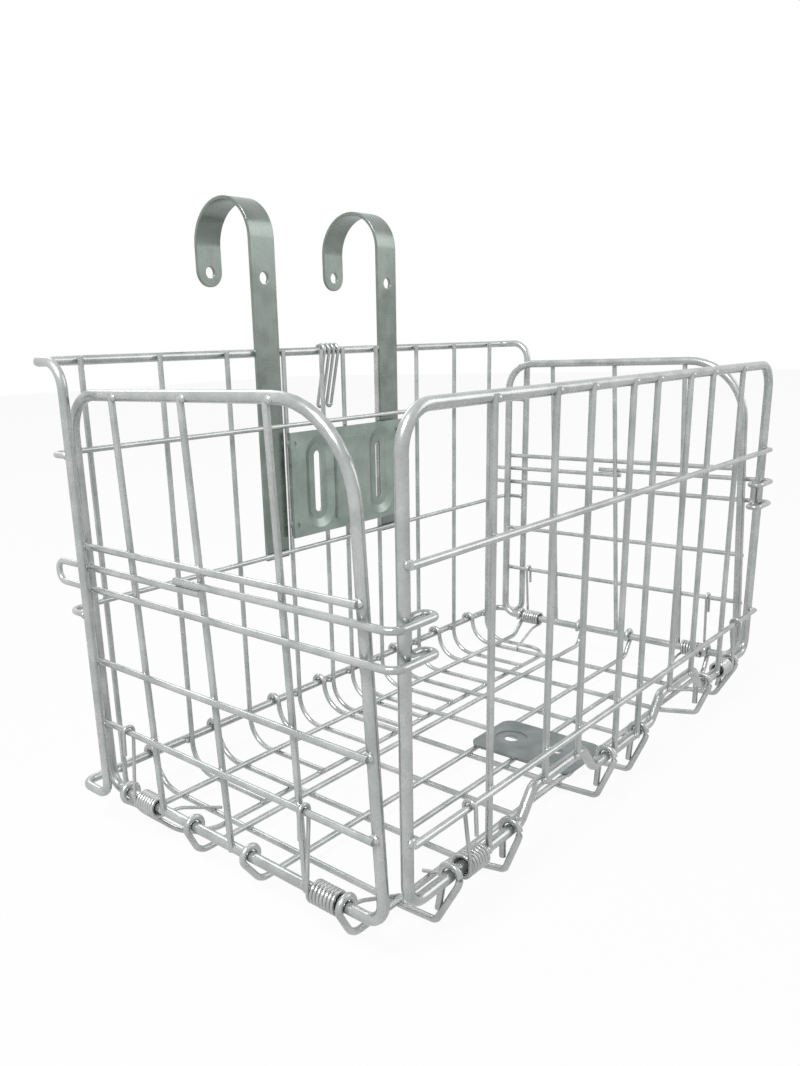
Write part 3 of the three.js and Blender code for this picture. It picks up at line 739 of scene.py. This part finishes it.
# Each end coil's side, word, sign of x, place along its rail and the way it runs
END_COILS = (
    ("left", "back", -1, 47.82, ALONG_Y), ("left", "front", -1, -68.67, ALONG_Y),
    ("right", "back", 1, 55.17, ALONG_Y), ("right", "front", 1, -55.17, -ALONG_Y),
)
# A floor leg's corners from the rail: inwards, up and bend. The front ones pass below the
# posts of the folded ends
END_FLOOR_LEG = ((37, -15.9, 0), (11, -4.7, 20))
FRONT_FLOOR_LEG = ((29, -20.3, 0), (8, -14.5, 6), (2.2, -6, 3))
# The upper leg bends off the coil, goes over its cross wire and ends in a tail
LEG_UP = 4
LEG_BEND = 20
CROWN_R = 2.75
TAIL_OUT = 3.2
TAIL_DOWN = 11


def make_spring(rail, along, inwards, floor_leg, lath):
    """A torsion spring round a rail: floor leg, close coil and a leg hooked over the lath."""
    def at(s, u, w):
        return Vector(rail) + along * s + inwards * u + UP * w

    coil = []
    count = int(COIL_TURNS * COIL_STEPS)
    for k in range(count + 1):
        t = -2 * math.pi * (k / COIL_STEPS + 0.25)
        coil.append(at(COIL_LENGTH * k / count, COIL_R * math.cos(t), COIL_R * math.sin(t)))
    crown = arc(at(COIL_LENGTH, -LATH_OUT, lath), inwards, UP, CROWN_R, -20, 185, steps=18)
    leg = bent([tuple(coil[-1]), (*at(COIL_LENGTH, -COIL_R, LEG_UP), LEG_BEND), tuple(crown[0])])
    tail = at(COIL_LENGTH, -LATH_OUT - TAIL_OUT, lath - TAIL_DOWN)
    lead = bent([(*at(0, *point), bend) for *point, bend in floor_leg] + [tuple(coil[0])])
    return draw_wire(lead[:-1] + coil + leg[1:-1] + crown + [tail], COIL_WIRE_R)


def ride_coil(piece, node):
    """The coil stays put on no body: hides the part it stands for and puts its place into its mesh.
    """
    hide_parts(node)
    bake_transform(piece)


def make_springs():
    for side, word, sign, y, along in END_COILS:
        rail = (sign * X_END, y, 0)
        coil = make_spring(rail, along, ALONG_X * -sign, END_FLOOR_LEG, END_LATHS[2])
        dress(coil, f"{side}_coil_{word}", SPRING)
        ride_coil(coil, f"{side}_spring_{word}")
    for word, side in (("left", -1), ("right", 1)):
        rail = (side * FRONT_COIL_X, Y_FRONT, Z_FRONT)
        along = ALONG_X * side
        coil = make_spring(rail, along, ALONG_Y, FRONT_FLOOR_LEG, FRONT_LATHS[1] - Z_FRONT)
        dress(coil, f"front_coil_{word}", SPRING)
        ride_coil(coil, f"front_spring_{word}")


# Straps and plates

STRAP_X = 53.0
STRAP_Y = 96.5
HOOK_R = 22.5
Z_HOOK = 268.0
Z_TIP = 246.0
Y_TIP = STRAP_Y + 2 * HOOK_R
STRAP_LAP = 3
HOOK_STEPS = 28
TIP_ROUND_SHARE = 0.49
HOOK_HOLE_R = 3.2
SHANK_HOLE_UP = 1.5
TIP_HOLE_UP = STRAP_W / 2 - 1
# Longer than any wall that is cut through
DRILL = 8

# Bracket plate: its sheet, its raised middle, its dished ovals with slots, and its welds
PLATE_X = 9.0
PLATE_HALF = STRAP_X - 0.5
PLATE_PLAY = 0.3
PLATE_ABOVE = 8
PLATE_BELOW = 4
PANEL_HALF = 0.29 * STRAP_X
PANEL_RISE = 1.6
PANEL_SUNK = 0.3
PANEL_EDGE = 6
OVAL_FROM_MIDDLE = 0.54 * STRAP_X
OVAL_DISH = 2.2
OVAL_R = 12.7
OVAL_SKIM = 0.2
DISH_FLOOR_R = 7.5
DISH_BACK_R = 8.5
SLOT_R = 3
SLOT_BEFORE = 7
SLOT_BEHIND = 5
# Where the plate is welded on: the place along x and how far back the boss reaches
HELD_AT = ((-40.5, 94.45), (STRAP_X, STRAP_Y - STRAP_T / 2 - 0.15))
HELD_EDGE = 7
BOSS_R = 2.6
BOSS_SUNK = 0.6
DIMPLE_R = 1.8
DIMPLE_LONG = 1.7
DIMPLE_MIDDLE = 0.15

# Floor plate: its outline beside the first long wire, its holes and its ears
FLOOR_PLATE_LEFT = 33.5
FLOOR_PLATE_RIGHT = 8.5
FLOOR_PLATE_CORNER = 7
EAR_PLAY = 0.4
FLOOR_HOLE_X = 21
# Each hole's distance from the back edge, and its radius
FLOOR_HOLES = ((15.5, 4), (44.5, 3))
HOLE_DISH_R = 9
HOLE_DISH = 0.6
FLOOR_DRILL = 20
# Each ear's two sides: the first from the plate's left edge, the second from its right edge
LEFT_EAR = (8, 14)
RIGHT_EAR = (13.5, 11)
EAR_T = 1.2
EAR_ROOT = 3
EAR_TURN = 175


def peg(x, y, z, radius, depth, sides=32):
    """A round bar along Y, for a hole or a boss."""
    bpy.ops.object.select_all(action="DESELECT")
    bpy.ops.mesh.primitive_cylinder_add(
        vertices=sides, radius=radius / 1000, depth=depth / 1000,
        location=row((x, y, z)), rotation=(math.pi / 2, 0, 0),
    )
    bar = bpy.context.view_layer.objects.active
    set_down(bar)
    return bar


def make_strap(side, x):
    low = BACK_LATHS[1] - STRAP_LAP
    bpy.ops.object.select_all(action="DESELECT")
    bpy.ops.mesh.primitive_plane_add(
        size=1, location=row((x, STRAP_Y, (low + Z_HOOK) / 2)), rotation=(math.pi / 2, 0, 0),
    )
    strap = bpy.context.view_layer.objects.active
    strap.scale = (STRAP_W / 1000, (Z_HOOK - low) / 1000, 1)
    set_down(strap)
    top = row((0, 0, Z_HOOK)).z - 1e-5
    edit(strap)
    choose(strap, lambda p: p.z > top)
    bpy.ops.mesh.spin(
        steps=HOOK_STEPS, angle=math.pi, center=row((x, STRAP_Y + HOOK_R, Z_HOOK)), axis=(1, 0, 0),
    )
    leave()
    tip = row((0, Y_TIP, 0)).y - 1e-4
    edit(strap)
    choose(strap, lambda p: p.y > tip)
    bpy.ops.mesh.extrude_region_move(
        TRANSFORM_OT_translate={"value": (0, 0, (Z_TIP - Z_HOOK) / 1000)},
    )
    bpy.ops.mesh.bevel(offset=TIP_ROUND_SHARE * STRAP_W / 1000, segments=9, affect="VERTICES")
    bpy.ops.mesh.select_all(action="SELECT")
    bpy.ops.mesh.normals_make_consistent(inside=False)
    leave()
    wall = strap.modifiers.new("thickness", "SOLIDIFY")
    wall.thickness = STRAP_T / 1000
    wall.offset = 0
    apply_all(strap)
    boolean(strap, [
        peg(x, STRAP_Y, Z_TIP + SHANK_HOLE_UP, HOOK_HOLE_R, DRILL),
        peg(x, Y_TIP, Z_TIP + TIP_HOLE_UP, HOOK_HOLE_R, DRILL),
    ], "DIFFERENCE")
    soften(strap, width=0.35)
    dress(strap, f"{side}_hook_strap", STRAP)
    even_out(strap)
    stand_for(strap, f"strap_{side}", "back")


def slab(low, high):
    """A block between two corners."""
    middle = [(a + b) / 2 for a, b in zip(low, high)]
    bpy.ops.object.select_all(action="DESELECT")
    bpy.ops.mesh.primitive_cube_add(size=1, location=row(middle))
    block = bpy.context.view_layer.objects.active
    block.scale = [(b - a) / 1000 for a, b in zip(low, high)]
    set_down(block)
    return block


def oval(x, z, half, radius, y_from, y_to, far_radius):
    """An upright oval: a round bar narrowed towards its far end and pulled long."""
    bar = peg(x, (y_from + y_to) / 2, z, radius, y_to - y_from, 40)
    far = row((x, y_to, z))
    share = far_radius / radius
    edit(bar)
    choose(bar, lambda p: p.y > far.y - 1e-6)
    bpy.ops.transform.resize(value=(share, 1, share), center_override=far)
    middle = far.z
    choose(bar, lambda p: p.z > middle + 1e-6)
    bpy.ops.transform.translate(value=(0, 0, half / 1000))
    choose(bar, lambda p: p.z < middle + 1e-6)
    bpy.ops.transform.translate(value=(0, 0, -half / 1000))
    leave()
    return bar


def make_bracket_plate():
    """The plate between the straps: the middle stands out and the slots lie in dished ovals."""
    face = Y_LATH - BACK_WIRE_R - PLATE_PLAY
    front = face - SHEET_T
    low = BACK_LATHS[1] + PLATE_ABOVE
    high = BACK_LATHS[0] - PLATE_BELOW
    middle = (low + high) / 2
    slots_x = [PLATE_X + x for x in both(OVAL_FROM_MIDDLE)]
    slot_half = (high - low) / 4

    def ovals(radius, y_from, y_to, far_radius):
        return [oval(x, middle, slot_half, radius, y_from, y_to, far_radius) for x in slots_x]

    plate = slab((PLATE_X - PLATE_HALF, front, low), (PLATE_X + PLATE_HALF, face, high))
    panel = slab(
        (PLATE_X - PANEL_HALF, front - PANEL_RISE, low + PANEL_EDGE),
        (PLATE_X + PANEL_HALF, face - PANEL_SUNK, high - PANEL_EDGE),
    )
    backs = ovals(OVAL_R, face - OVAL_SKIM, face + OVAL_DISH, DISH_BACK_R)
    rivets = [(x, z, to) for x, to in HELD_AT for z in (low + HELD_EDGE, high - HELD_EDGE)]
    bosses = []
    for x, z, to in rivets:
        bosses.append(peg(x, (face - BOSS_SUNK + to) / 2, z, BOSS_R, to - face + BOSS_SUNK))
    boolean(plate, [panel, *backs, *bosses], "UNION")
    dishes = ovals(OVAL_R, front - OVAL_SKIM, front + OVAL_DISH, DISH_FLOOR_R)
    slots = ovals(SLOT_R, face - SLOT_BEFORE, face + SLOT_BEHIND, SLOT_R)
    dimples = [peg(x, front - DIMPLE_MIDDLE, z, DIMPLE_R, DIMPLE_LONG) for x, z, _ in rivets]
    boolean(plate, [*dishes, *slots, *dimples], "DIFFERENCE")
    soften(plate, width=0.5, segments=3, from_angle=14)
    dress(plate, "bracket_sheet", STRIP)
    even_out(plate)
    stand_for(plate, "bracket_plate", "back")


def make_floor_plate():
    left = LONG_X[0] - FLOOR_PLATE_LEFT
    right = LONG_X[0] + FLOOR_PLATE_RIGHT
    reach = WIRE_R + EAR_PLAY + SHEET_T
    front = CROSS_Y[3] - reach
    back = CROSS_Y[2] + reach
    low = Z_CROSS + WIRE_R + PLATE_PLAY
    plate = slab((left, front, low), (right, back, low + SHEET_T))
    edit(plate)
    bpy.ops.mesh.select_mode(type="EDGE")
    leave()
    for edge in plate.data.edges:
        a, b = (plate.data.vertices[i].co for i in edge.vertices)
        edge.select = abs(a.z - b.z) > 1e-4
    bpy.ops.object.mode_set(mode="EDIT")
    bpy.ops.mesh.bevel(offset=FLOOR_PLATE_CORNER / 1000, segments=8, affect="EDGES")
    leave()
    drills = [(from_back, radius, low) for from_back, radius in FLOOR_HOLES]
    drills.append((FLOOR_HOLES[0][0], HOLE_DISH_R, low + SHEET_T - HOLE_DISH + FLOOR_DRILL / 2))
    holes = []
    for from_back, radius, z in drills:
        bpy.ops.object.select_all(action="DESELECT")
        bpy.ops.mesh.primitive_cylinder_add(
            vertices=32, radius=radius / 1000, depth=FLOOR_DRILL / 1000,
            location=row((left + FLOOR_HOLE_X, back - from_back, z)),
        )
        hole = bpy.context.view_layer.objects.active
        set_down(hole)
        holes.append(hole)
    boolean(plate, holes, "DIFFERENCE")
    soften(plate, width=0.4, segments=3)
    ears = []
    left_ear = [left + x for x in LEFT_EAR]
    right_ear = [right - x for x in RIGHT_EAR]
    for xa, xb in (left_ear, right_ear):
        for y, outside in ((CROSS_Y[2], 1), (CROSS_Y[3], -1)):
            ears.append(make_ear(xa, xb, y, outside, low))
    piece = join([plate, *ears])
    dress(piece, "floor_sheet", FLOOR_STRIP)
    even_out(piece)
    stand_for(piece, "floor_plate", "back")


def make_ear(xa, xb, y, outside, low):
    """A tab of the floor plate curled down round a cross wire."""
    middle = ((xa + xb) / 2, y - outside * EAR_ROOT / 2, low + SHEET_T / 2)
    bpy.ops.object.select_all(action="DESELECT")
    bpy.ops.mesh.primitive_plane_add(size=1, location=row(middle))
    tab = bpy.context.view_layer.objects.active
    tab.scale = ((xb - xa) / 1000, EAR_ROOT / 1000, 1)
    set_down(tab)
    edge = row((0, y, 0)).y
    edit(tab)
    choose(tab, lambda p: abs(p.y - edge) < 1e-5)
    bpy.ops.mesh.spin(
        steps=14, angle=math.radians(EAR_TURN), center=row((0, y, Z_CROSS)), axis=(-outside, 0, 0),
    )
    bpy.ops.mesh.select_all(action="SELECT")
    bpy.ops.mesh.normals_make_consistent(inside=False)
    leave()
    wall = tab.modifiers.new("thickness", "SOLIDIFY")
    wall.thickness = EAR_T / 1000
    wall.offset = 0
    apply_all(tab)
    soften(tab, width=0.25)
    return tab


# Studio

# Floor, fill light and the lamps' aim, with lengths in metres
FLOOR_SIZE = 12
FLOOR_BELOW = 0.0006
FLOOR_GREY = 0.6
FLOOR_WHITE_SHARE = 0.95
FILL_STRENGTH = 0.15
AIM = Vector((0, 0, 0.12))


def make_studio():
    scene = bpy.context.scene
    scene.view_settings.view_transform = "Standard"
    bpy.ops.object.select_all(action="DESELECT")
    bpy.ops.mesh.primitive_plane_add(size=FLOOR_SIZE, location=(0, 0, -FLOOR_BELOW))
    floor = bpy.context.view_layer.objects.active
    floor.name = "studio_floor"
    paper = bpy.data.materials.new("white_paper")
    paper.use_nodes = True
    tree = paper.node_tree
    tree.nodes.clear()
    out = node(tree, "ShaderNodeOutputMaterial")
    mix = node(tree, "ShaderNodeMixShader")
    matte = node(tree, "ShaderNodeBsdfDiffuse")
    matte.inputs["Color"].default_value = (FLOOR_GREY, FLOOR_GREY, FLOOR_GREY, 1)
    glow = node(tree, "ShaderNodeEmission")
    glow.inputs["Strength"].default_value = 1.0
    tree.links.new(seen_directly(tree, FLOOR_WHITE_SHARE), mix.inputs["Fac"])
    tree.links.new(matte.outputs["BSDF"], mix.inputs[1])
    tree.links.new(glow.outputs["Emission"], mix.inputs[2])
    tree.links.new(mix.outputs["Shader"], out.inputs["Surface"])
    floor.data.materials.append(paper)

    world = bpy.data.worlds.new("studio_air")
    scene.world = world
    world.use_nodes = True
    tree = world.node_tree
    tree.nodes.clear()
    out = node(tree, "ShaderNodeOutputWorld")
    mix = node(tree, "ShaderNodeMixShader")
    fill = node(tree, "ShaderNodeBackground")
    fill.inputs["Color"].default_value = (0.96, 0.98, 1.0, 1)
    fill.inputs["Strength"].default_value = FILL_STRENGTH
    white = node(tree, "ShaderNodeBackground")
    white.inputs["Color"].default_value = (1, 1, 1, 1)
    white.inputs["Strength"].default_value = 1.0
    tree.links.new(seen_directly(tree, 1.0), mix.inputs["Fac"])
    tree.links.new(fill.outputs["Background"], mix.inputs[1])
    tree.links.new(white.outputs["Background"], mix.inputs[2])
    tree.links.new(mix.outputs["Shader"], out.inputs["Surface"])

    lamp("key_lamp", (-1.25, -0.3, 1.7), size=0.8, power=50)
    lamp("side_lamp", (1.3, -1.2, 1.0), size=1.2, power=7)
    lamp("back_lamp", (0.4, 1.5, 1.4), size=1.0, power=8)


def seen_directly(tree, share):
    """The share of white for what the camera, glossy metal and glass see."""
    path = node(tree, "ShaderNodeLightPath")
    first = node(tree, "ShaderNodeMath", operation="MAXIMUM")
    second = node(tree, "ShaderNodeMath", operation="MAXIMUM")
    scaled = node(tree, "ShaderNodeMath", operation="MULTIPLY")
    scaled.inputs[1].default_value = share
    tree.links.new(path.outputs["Is Camera Ray"], first.inputs[0])
    tree.links.new(path.outputs["Is Glossy Ray"], first.inputs[1])
    tree.links.new(first.outputs[0], second.inputs[0])
    tree.links.new(path.outputs["Is Transmission Ray"], second.inputs[1])
    tree.links.new(second.outputs[0], scaled.inputs[0])
    return scaled.outputs[0]


def lamp(name, place, size, power):
    bpy.ops.object.select_all(action="DESELECT")
    bpy.ops.object.light_add(type="AREA", location=place)
    light = bpy.context.view_layer.objects.active
    light.name = name
    light.data.shape = "DISK"
    light.data.size = size
    light.data.energy = power
    light.rotation_euler = (AIM - Vector(place)).to_track_quat("-Z", "Y").to_euler()


# Camera: its focal length in pixels, for a frame of this height
FOCAL_PIXELS = 870.28
FRAME_HEIGHT = 1066
SENSOR = 36


def make_camera():
    bpy.ops.object.select_all(action="DESELECT")
    bpy.ops.object.camera_add()
    camera = bpy.context.view_layer.objects.active
    camera.name = "photo_camera"
    right = Vector((0.68165, -0.73071, -0.03750))
    down = Vector((-0.21820, -0.15409, -0.96366))
    forward = Vector((0.69838, 0.66507, -0.26448))
    turn = Matrix((right, -down, -forward)).transposed()
    place = row((-398.98, -271.37, 207.69))
    camera.matrix_world = Matrix.Translation(place) @ turn.to_4x4()
    camera.data.sensor_width = SENSOR
    camera.data.lens = FOCAL_PIXELS * SENSOR / FRAME_HEIGHT
    camera.data.shift_x = 0.0694
    camera.data.shift_y = 0.0535
    camera.data.clip_start = 0.01
    bpy.context.scene.camera = camera


make_camera()
make_studio()
make_back_frame()
make_back_grid()
make_floor()
make_front()
make_ends()
make_keeper()
make_springs()
for side, x in (("left", -STRAP_X), ("right", STRAP_X)):
    make_strap(side, x)
make_bracket_plate()
make_floor_plate()
bpy.data.objects.remove(NUGGET)
